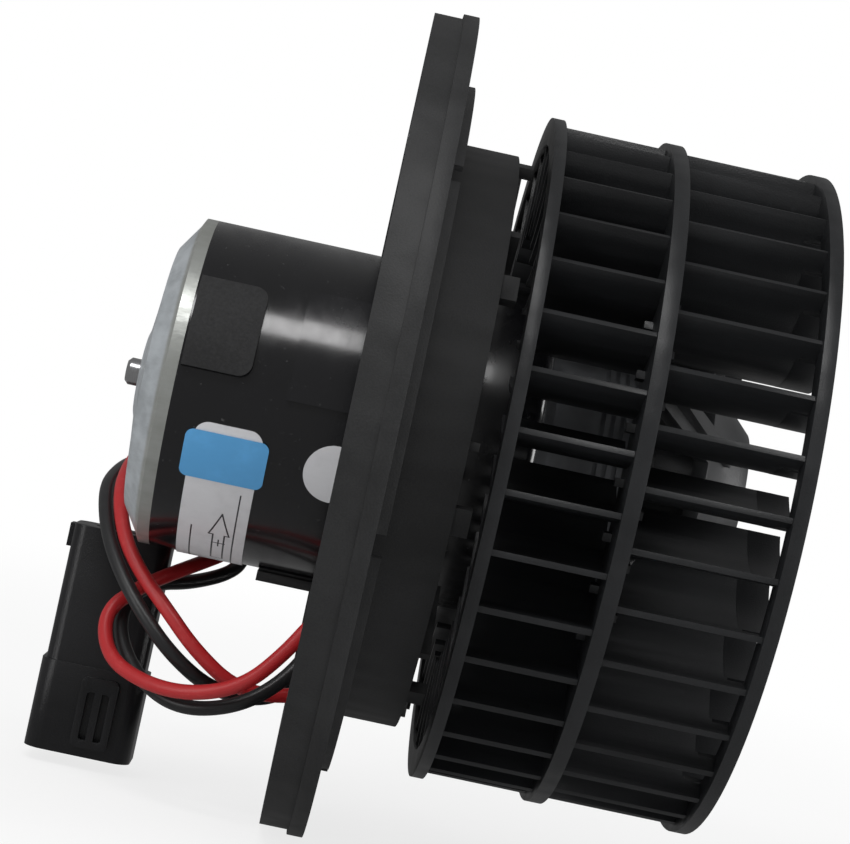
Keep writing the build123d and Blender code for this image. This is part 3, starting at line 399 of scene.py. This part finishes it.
def soften(name, width):
    """Rounds a moulding's edges a little, so that they catch the light."""
    weld = nodes[name].modifiers.new("Join faces", "WELD")
    weld.merge_threshold = WELD_GAP
    bevel = nodes[name].modifiers.new("Edge round", "BEVEL")
    bevel.width = width
    bevel.segments = 2
    bevel.limit_method = "ANGLE"
    bevel.angle_limit = math.radians(ROUND_ANGLE)
    bevel.harden_normals = True


def add_piece(name, data, finish, body):
    piece = bpy.data.objects.new(name, data)
    bpy.context.scene.collection.objects.link(piece)
    data.materials.append(finish.material)
    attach(piece, body)
    return piece


def moulded_finish(name, colour, rough, grain):
    """Moulded plastic: soft patches, flow marks and a fine grain."""
    finish = Finish(name, specular_ior_level=0.42)
    patches = finish.noise(28.0, detail=4.0)
    flow = finish.noise(90.0, detail=5.0, roughness=0.6, stretch=(0.35, 1.0, 1.0))
    grains = finish.noise(grain, detail=2.0, roughness=0.5)
    dust = finish.noise(420.0, detail=6.0, roughness=0.7).step(0.60, 0.80)
    tone = (patches * 0.4 + flow * 0.3 + grains * 0.3).step(0.38, 0.62)
    base = finish.blend(tone, shade(colour, 0.80), shade(colour, 1.28))
    finish.set(base_color=finish.blend(dust * 0.35, base, shade(colour, 2.4)))
    finish.set(roughness=flow.span(rough - 0.07, rough + 0.07) + dust * 0.08)
    finish.relief(grains * 0.7 + flow * 0.3, strength=0.5, depth=0.00014)
    return finish


def paint_finish(name, colour):
    """Gloss black enamel with handling smears, grey specks and a little orange peel."""
    finish = Finish(name, specular_ior_level=0.5, coat_ior=1.45)
    smears = finish.noise(60.0, detail=5.0, roughness=0.6, stretch=(1.0, 0.5, 0.5)).step(0.42, 0.72)
    specks = finish.noise(900.0, detail=4.0, roughness=0.65).step(0.66, 0.74)
    peel = finish.noise(520.0, detail=2.0)
    base = finish.blend(smears, colour, shade(colour, 1.7))
    finish.set(base_color=finish.blend(specks * 0.6, base, (0.09, 0.09, 0.09)))
    finish.set(roughness=smears.span(0.17, 0.34) + specks * 0.3)
    finish.set(coat_weight=smears.span(0.5, 0.2), coat_roughness=0.12)
    finish.relief(peel, strength=0.10, depth=0.00008)
    return finish


def zinc_finish(name, colour, tint):
    """Zinc plate with drawing streaks, dull patches and a yellow passivated rim."""
    finish = Finish(name, metallic=0.62)
    x, y, z = finish.axes()
    streaks = finish.noise(55.0, detail=7.0, roughness=0.65, stretch=(0.5, 1.0, 2.6))
    patches = finish.noise(42.0)
    spangle = finish.cells(300.0)
    tone = (streaks * 0.75 + patches * 0.2 + spangle * 0.15).step(0.34, 0.76)
    base = finish.blend(tone, shade(colour, 0.70), shade(colour, 1.16))
    rim = reach(y, z).step(0.0352, 0.0372) * x.step(-0.0522, -0.0512)
    finish.set(base_color=finish.blend(rim * 0.6, base, tint))
    finish.set(roughness=tone.span(0.50, 0.30))
    finish.relief(streaks * 0.8 + spangle * 0.2, strength=0.55, depth=0.0004)
    return finish


def metal_finish(name):
    """Bare metal with tool marks along one way and a little tarnish."""
    colour, low, high, scale, stretch = METALS[name]
    finish = Finish(name, metallic=1.0)
    marks = finish.noise(scale, detail=4.0, roughness=0.6, stretch=stretch)
    tarnish = finish.noise(130.0, detail=4.0).step(0.45, 0.75)
    base = finish.blend(marks, shade(colour, 0.82), colour)
    finish.set(base_color=finish.blend(tarnish * 0.6, base, shade(colour, 0.5)))
    finish.set(roughness=marks.span(low, high))
    finish.relief(marks, strength=0.12, depth=0.00006)
    return finish


def dull_finish(name):
    """Matte stock such as foam, felt, carbon, ferrite or rubber."""
    colour, rough, scale, strength = STOCKS[name]
    finish = Finish(name, specular_ior_level=0.35)
    grain = finish.noise(scale, detail=5.0, roughness=0.65)
    patches = finish.noise(75.0)
    tone = (grain * 0.6 + patches * 0.4).step(0.35, 0.7)
    finish.set(base_color=finish.blend(tone, shade(colour, 0.7), shade(colour, 1.35)))
    finish.set(roughness=patches.span(rough - 0.08, rough + 0.06))
    finish.relief(grain, strength, depth=0.00018)
    return finish


def film_finish(name, colour, edge):
    """Printed film: faint smears, fibres in the stock and a soft gloss."""
    finish = Finish(name, specular_ior_level=0.45, coat_weight=0.25, coat_roughness=0.2)
    smears = finish.noise(160.0, detail=5.0, roughness=0.6).step(0.45, 0.8)
    fibres = finish.noise(1500.0, detail=2.0, roughness=0.5, stretch=(0.3, 1.0, 1.0))
    base = finish.blend(fibres, shade(colour, 0.95), colour)
    finish.set(base_color=finish.blend(smears * 0.5, base, edge))
    finish.set(roughness=smears.span(0.30, 0.48))
    finish.relief(fibres * 0.4 + smears * 0.6, strength=0.08, depth=0.00008)
    return finish


def insulation_finish(name, colour, scuff):
    """PVC insulation: extrusion lines, faint dust and a waxy sheen."""
    finish = Finish(name, specular_ior_level=0.5)
    dust = finish.noise(380.0, detail=5.0, roughness=0.65).step(0.55, 0.8)
    tone = finish.noise(70.0)
    lines = finish.noise(900.0)
    base = finish.blend(tone, shade(colour, 0.82), shade(colour, 1.1))
    finish.set(base_color=finish.blend(dust * 0.3, base, scuff))
    finish.set(roughness=tone.span(0.30, 0.42) + dust * 0.12)
    finish.relief(lines, strength=0.08, depth=0.00006)
    return finish


def round_can(x, angle, radius):
    """Point in metres at an x, an angle in degrees down from the near side, and a radius."""
    turn = math.radians(angle)
    return Vector((x, -radius * math.cos(turn), -radius * math.sin(turn)))


def printed_strip(corners, width, radius, closed):
    """Mesh of a printed line along corners given as (x, arc length) round the can."""
    count = len(corners)
    vertices, faces = [], []
    for index in range(count if closed else count - 1):
        start = Vector(corners[index])
        end = Vector(corners[(index + 1) % count])
        along = (end - start).normalized() * width / 2
        side = Vector((-along.y, along.x))
        steps = max(1, int((end - start).length / PRINT_STEP))
        first = len(vertices)
        for step in range(steps + 1):
            middle = (start - along).lerp(end + along, step / steps)
            for edge in (middle - side, middle + side):
                vertices.append(round_can(edge.x, math.degrees(edge.y / radius), radius))
        for step in range(steps):
            near = first + 2 * step
            faces.append((near, near + 1, near + 3, near + 2))
    return vertices, faces


def blade_section():
    """Back and face of an inlet blade inside the ring's eye, as points across the shaft axis."""
    lead = math.radians(-BLADE_LEAD)
    tip = Vector((BLADE_TIP, 0.0))
    heel = Vector((BLADE_HEEL * math.cos(lead), BLADE_HEEL * math.sin(lead)))
    chord = tip - heel
    across = Vector((-chord.y, chord.x)).normalized()
    rise = math.sqrt(BLADE_CURVE ** 2 - (chord.length / 2) ** 2)
    centre = (tip + heel) / 2 - across * rise
    half = math.asin(chord.length / 2 / BLADE_CURVE)
    middle = math.atan2(across.y, across.x)
    turns = [middle + half - half * step / BLADE_STEPS for step in range(2 * BLADE_STEPS + 1)]
    sides = []
    for side in (1, -1):
        radius = BLADE_CURVE + side * BLADE_THICKNESS / 2
        points = [centre + radius * Vector((math.cos(turn), math.sin(turn))) for turn in turns]
        sides.append([point for point in points if point.length < INLET_EYE])
    steps = min(len(line) for line in sides)
    return [line[:steps] for line in sides]


def blade_ends():
    """Mesh of the inlet blades' inner ends, which run through the ring's eye to its outer face."""
    back, face = blade_section()
    ring = back + face[::-1]
    count = len(ring)
    vertices, faces = [], []
    for blade in range(BLADE_COUNT):
        turn = math.radians(BLADE_ZERO + (blade + 0.5) * 360 / BLADE_COUNT)
        first = len(vertices)
        for x in (INLET_FACE_X, SOLID_BLADE_END_X):
            for point in ring:
                vertices.append((x, math.cos(turn) * point.x - math.sin(turn) * point.y,
                                 math.sin(turn) * point.x + math.cos(turn) * point.y))
        end = first + count
        for corner in range(count):
            after = (corner + 1) % count
            faces.append((first + corner, first + after, end + after, end + corner))
        for step in range(len(back) - 1):
            far = count - 1 - step
            faces.append((first + far, first + far - 1, first + step + 1, first + step))
            faces.append((end + step, end + step + 1, end + far - 1, end + far))
    return vertices, faces


class BLOWER_OT_flange(bpy.types.Operator):
    """Finish the moulded flange, its steel bushes and the rubber ring"""

    bl_idname = "blower.flange"
    bl_label = "Flange"

    def execute(self, context):
        colours = context.scene.blower_colours
        plastic = moulded_finish("flange_plastic", colours.flange, rough=0.56, grain=2600.0)
        dress(plastic, "mounting_flange")
        dress(metal_finish("bush_steel"), "screw_bushes")
        dress(dull_finish("ring_rubber"), "isolation_ring", "lead_grommet", "wire_seals")
        soften("mounting_flange", context.scene.blower_sizes.edge_round)
        return {"FINISHED"}


class BLOWER_OT_wheel(bpy.types.Operator):
    """Finish the two-stage wheel, its insert and its clip, and add the inlet blades' ends"""

    bl_idname = "blower.wheel"
    bl_label = "Wheel"

    def execute(self, context):
        colours = context.scene.blower_colours
        plastic = moulded_finish("wheel_plastic", colours.wheel, rough=0.40, grain=3200.0)
        dress(plastic, "blower_wheel")
        data = bpy.data.meshes.new("inlet_blade_ends")
        vertices, faces = blade_ends()
        data.from_pydata(vertices, [], faces)
        smooth(data)
        add_piece("inlet_blade_ends", data, plastic, "rotor")
        dress(metal_finish("insert_steel"), "hub_insert", "wheel_clip")
        soften("blower_wheel", context.scene.blower_sizes.edge_round * 0.8)
        return {"FINISHED"}


class BLOWER_OT_can(bpy.types.Operator):
    """Finish the can, the end cap, the flux plates, the pad and the front bearing housing"""

    bl_idname = "blower.can"
    bl_label = "Can and cap"

    def execute(self, context):
        colours = context.scene.blower_colours
        dress(paint_finish("can_enamel", colours.can), "motor_can")
        plates = paint_finish("plate_enamel", shade(colours.can, 1.3))
        dress(plates, "near_flux_plate", "far_flux_plate")
        dress(dull_finish("pad_foam"), "can_pad")
        zinc = zinc_finish("cap_zinc", colours.zinc, colours.passivate)
        dress(zinc, "rear_end_cap", "rear_bearing_retainer", "front_bearing_retainer")
        dress(metal_finish("housing_casting"), "front_bearing_housing")
        return {"FINISHED"}


class BLOWER_OT_inner(bpy.types.Operator):
    """Finish the shaft, the bearings, the field, the armature and the brush gear"""

    bl_idname = "blower.inner"
    bl_label = "Inner parts"

    def execute(self, context):
        dress(metal_finish("shaft_steel"), "shaft")
        springs = metal_finish("spring_steel")
        dress(springs, "upper_brush_spring", "lower_brush_spring", "magnet_clips")
        dress(metal_finish("bearing_bronze"), "rear_bearing", "front_bearing")
        dress(metal_finish("core_sheet"), "armature_stack")
        dress(metal_finish("copper_wire"), "armature_windings", "commutator")
        dress(metal_finish("box_brass"), "upper_brush_box", "lower_brush_box")
        dress(metal_finish("terminal_tin"), "blade_terminals")
        dress(dull_finish("brush_carbon"), "upper_brush", "lower_brush")
        dress(dull_finish("magnet_ferrite"), "upper_magnet", "lower_magnet")
        dress(dull_finish("oil_felt"), "oil_felts")
        dress(dull_finish("card_phenolic"), "brush_card", "thrust_washers")
        return {"FINISHED"}


class BLOWER_OT_labels(bpy.types.Operator):
    """Finish the films on the can and print the rotation arrow and rule lines"""

    bl_idname = "blower.labels"
    bl_label = "Labels"

    def execute(self, context):
        colours = context.scene.blower_colours
        width = context.scene.blower_sizes.print_line
        white = film_finish("label_film", colours.label, shade(colours.label, 0.78))
        dress(white, "rating_label", "balance_mark")
        blue = film_finish("sticker_film", colours.sticker, shade(colours.sticker, 1.25))
        dress(blue, "blue_sticker")
        ink = film_finish("label_ink", colours.ink, shade(colours.ink, 2.5))
        low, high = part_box("rating_label")
        lines = list(CROSS)
        for edge, way, (inset, first, last) in ((high[0], -1, FRONT_RULE), (low[0], 1, REAR_RULE)):
            lines.append(((edge + way * inset, first), (edge + way * inset, last)))

        def unrolled(corners):
            return [(x, math.radians(angle) * PRINT_RADIUS) for x, angle in corners]

        vertices, faces = printed_strip(unrolled(ARROW), width, PRINT_RADIUS, True)
        for line in lines:
            more, sides = printed_strip(unrolled(line), width * 0.9, PRINT_RADIUS, False)
            faces += [tuple(len(vertices) + corner for corner in side) for side in sides]
            vertices += more
        data = bpy.data.meshes.new("label_print")
        data.from_pydata([tuple(vertex) for vertex in vertices], [], faces)
        add_piece("label_print", data, ink, "housing")
        return {"FINISHED"}


class BLOWER_OT_leads(bpy.types.Operator):
    """Run the two leads from the grommet to the connector"""

    bl_idname = "blower.leads"
    bl_label = "Leads"

    def lead(self, context, name, route, finish, slot, length, node, ends):
        data = bpy.data.curves.new(name, "CURVE")
        data.dimensions = "3D"
        spline = data.splines.new("NURBS")
        spline.points.add(len(route) - 1)
        for point, place in zip(spline.points, route):
            point.co = (*place, 1.0)
        spline.order_u = 3
        spline.use_endpoint_u = True
        spline.resolution_u = 10
        data.bevel_depth = context.scene.blower_sizes.lead_diameter / 2
        data.bevel_resolution = 5
        data.use_fill_caps = True
        piece = add_piece(name, data, finish, "housing")
        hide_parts(node)

    def execute(self, context):
        colours = context.scene.blower_colours
        red = insulation_finish("red_insulation", colours.red_lead, (0.62, 0.12, 0.11))
        black = insulation_finish("black_insulation", colours.black_lead, (0.09, 0.09, 0.09))
        plug = [nodes[name] for name in ("connector_housing", "connector_lock")]
        inside = [nodes[name] for name in ("wire_seals", "blade_terminals")]
        self.lead(context, "red_wire", RED_ROUTE, red, "red_pvc", 0.3678, "red_lead", plug)
        self.lead(context, "black_wire", BLACK_ROUTE, black, "black_pvc", 0.3958, "black_lead", inside)
        return {"FINISHED"}


class BLOWER_OT_connector(bpy.types.Operator):
    """Finish the connector and its lock"""

    bl_idname = "blower.connector"
    bl_label = "Connector"

    def execute(self, context):
        colours = context.scene.blower_colours
        plastic = moulded_finish("connector_plastic", colours.connector, rough=0.34, grain=2800.0)
        dress(plastic, "connector_housing", "connector_lock")
        soften("connector_housing", context.scene.blower_sizes.edge_round)
        soften("connector_lock", context.scene.blower_sizes.edge_round * 0.8)
        return {"FINISHED"}


class BLOWER_OT_studio(bpy.types.Operator):
    """Set the floor, the air, the lamps and the camera"""

    bl_idname = "blower.studio"
    bl_label = "Studio"

    def ground(self, studio):
        """The camera sees a white floor that keeps the shadow and is painted greyer round the part;
        mirrors see it dim.
        """
        finish = Finish("studio_floor", roughness=0.9, specular_ior_level=0.1)
        finish.set(base_color=finish.blend(
            finish.noise(3.0, detail=2.0), studio.floor_colour, shade(studio.floor_colour, 0.985)))
        x, y, _ = finish.axes()
        under = 1.0 - reach(x, y).step(*SHADOW_FADE)
        plain = finish.ray("Is Camera Ray").larger(finish.ray("Is Transmission Ray"))
        # Near the part less white glow is seen, so the floor keeps its real shadow there and also
        # shows a painted grey halo, darker than the white beyond
        plain_share = plain * (1.0 - under * studio.floor_shadow)
        glow, dim = (
            finish.node("ShaderNodeEmission", {}, {"Color": WHITE, "Strength": strength})
            for strength in (1.0, studio.mirrored))
        lit = Channel(finish, finish.surface.outputs[0])
        glossy = finish.ray("Is Glossy Ray")
        mirrored = finish.node("ShaderNodeMixShader", {}, {0: glossy, 1: lit, 2: dim})
        both = finish.node("ShaderNodeMixShader", {}, {0: plain_share, 1: mirrored, 2: glow})
        finish.fill(finish.tree.nodes["Material Output"].inputs["Surface"], both)
        return finish

    def air(self, studio):
        """The camera sees white air, mirrors see it dim, and the rest gets its even light."""
        world = bpy.data.worlds.new("studio_air")
        world.use_nodes = True
        recipe = Recipe(world.node_tree)
        plain = recipe.ray("Is Camera Ray").larger(recipe.ray("Is Transmission Ray"))
        even = recipe.ray("Is Glossy Ray").span(studio.world_strength, studio.mirrored)
        sky = world.node_tree.nodes["Background"]
        recipe.fill(sky.inputs["Color"], WHITE)
        recipe.fill(sky.inputs["Strength"], plain.span(even, 1.0))
        return world

    def sheet(self, name, corners, finish):
        data = bpy.data.meshes.new(name)
        data.from_pydata(corners, [], [tuple(range(len(corners)))])
        data.materials.append(finish.material)
        piece = bpy.data.objects.new(name, data)
        bpy.context.scene.collection.objects.link(piece)

    def lamp(self, name, power, size, place, aim):
        data = bpy.data.lights.new(name, "AREA")
        data.energy = power
        data.shape = "RECTANGLE"
        data.size, data.size_y = size
        lamp = bpy.data.objects.new(name, data)
        lamp.location = place
        lamp.rotation_euler = (Vector(aim) - Vector(place)).to_track_quat("-Z", "Y").to_euler()
        bpy.context.scene.collection.objects.link(lamp)

    def camera(self):
        lens = bpy.data.cameras.new("photo_camera")
        lens.lens = CAMERA_LENS
        lens.sensor_width = CAMERA_SENSOR
        lens.sensor_fit = "HORIZONTAL"
        camera = bpy.data.objects.new("photo_camera", lens)
        forward = Vector(CAMERA_FORWARD).normalized()
        side = forward.cross(Vector(CAMERA_UP).normalized()).normalized()
        turn = Matrix((side, side.cross(forward), -forward)).transposed()
        camera.matrix_world = Matrix.Translation(CAMERA_PLACE) @ turn.to_4x4()
        bpy.context.scene.collection.objects.link(camera)
        return camera

    def execute(self, context):
        studio = context.scene.blower_studio
        floor_z = cad_box[0][2] - FLOOR_GAP
        quarters = ((-1, -1), (1, -1), (1, 1), (-1, 1))
        corners = [(x * FLOOR_REACH, y * FLOOR_REACH, floor_z) for x, y in quarters]
        self.sheet("floor", corners, self.ground(studio))
        context.scene.world = self.air(studio)
        for name, (setting, share, size, place, aim) in LAMPS.items():
            self.lamp(name, getattr(studio, setting) * share, size, place, aim)
        context.scene.camera = self.camera()
        context.scene.view_settings.view_transform = "Standard"
        return {"FINISHED"}


class BLOWER_PT_panel(bpy.types.Panel):
    """Lists the blower's steps and settings"""

    bl_idname = "BLOWER_PT_panel"
    bl_label = "Blower motor"
    bl_space_type = "VIEW_3D"
    bl_region_type = "UI"
    bl_category = "Blower"

    def draw(self, context):
        for step in STEPS:
            self.layout.operator(step.bl_idname)
        for group in ("blower_colours", "blower_sizes", "blower_studio"):
            settings = getattr(context.scene, group)
            for name in settings.bl_rna.properties.keys():
                if name not in ("name", "rna_type"):
                    self.layout.prop(settings, name)


GROUPS = (
    ("blower_colours", BlowerColours),
    ("blower_sizes", BlowerSizes),
    ("blower_studio", BlowerStudio),
)
STEPS = (
    BLOWER_OT_flange,
    BLOWER_OT_wheel,
    BLOWER_OT_can,
    BLOWER_OT_inner,
    BLOWER_OT_labels,
    BLOWER_OT_connector,
    BLOWER_OT_leads,
    BLOWER_OT_studio,
)


def register():
    for name, group in GROUPS:
        bpy.utils.register_class(group)
        setattr(bpy.types.Scene, name, bpy.props.PointerProperty(type=group))
    for made in (*STEPS, BLOWER_PT_panel):
        bpy.utils.register_class(made)


def unregister():
    for made in (BLOWER_PT_panel, *reversed(STEPS)):
        bpy.utils.unregister_class(made)
    for name, group in reversed(GROUPS):
        delattr(bpy.types.Scene, name)
        bpy.utils.unregister_class(group)


def main():
    register()
    bpy.ops.blower.flange()
    bpy.ops.blower.wheel()
    bpy.ops.blower.can()
    bpy.ops.blower.inner()
    bpy.ops.blower.labels()
    bpy.ops.blower.connector()
    bpy.ops.blower.leads()
    bpy.ops.blower.studio()


if __name__ == "__main__":
    main()
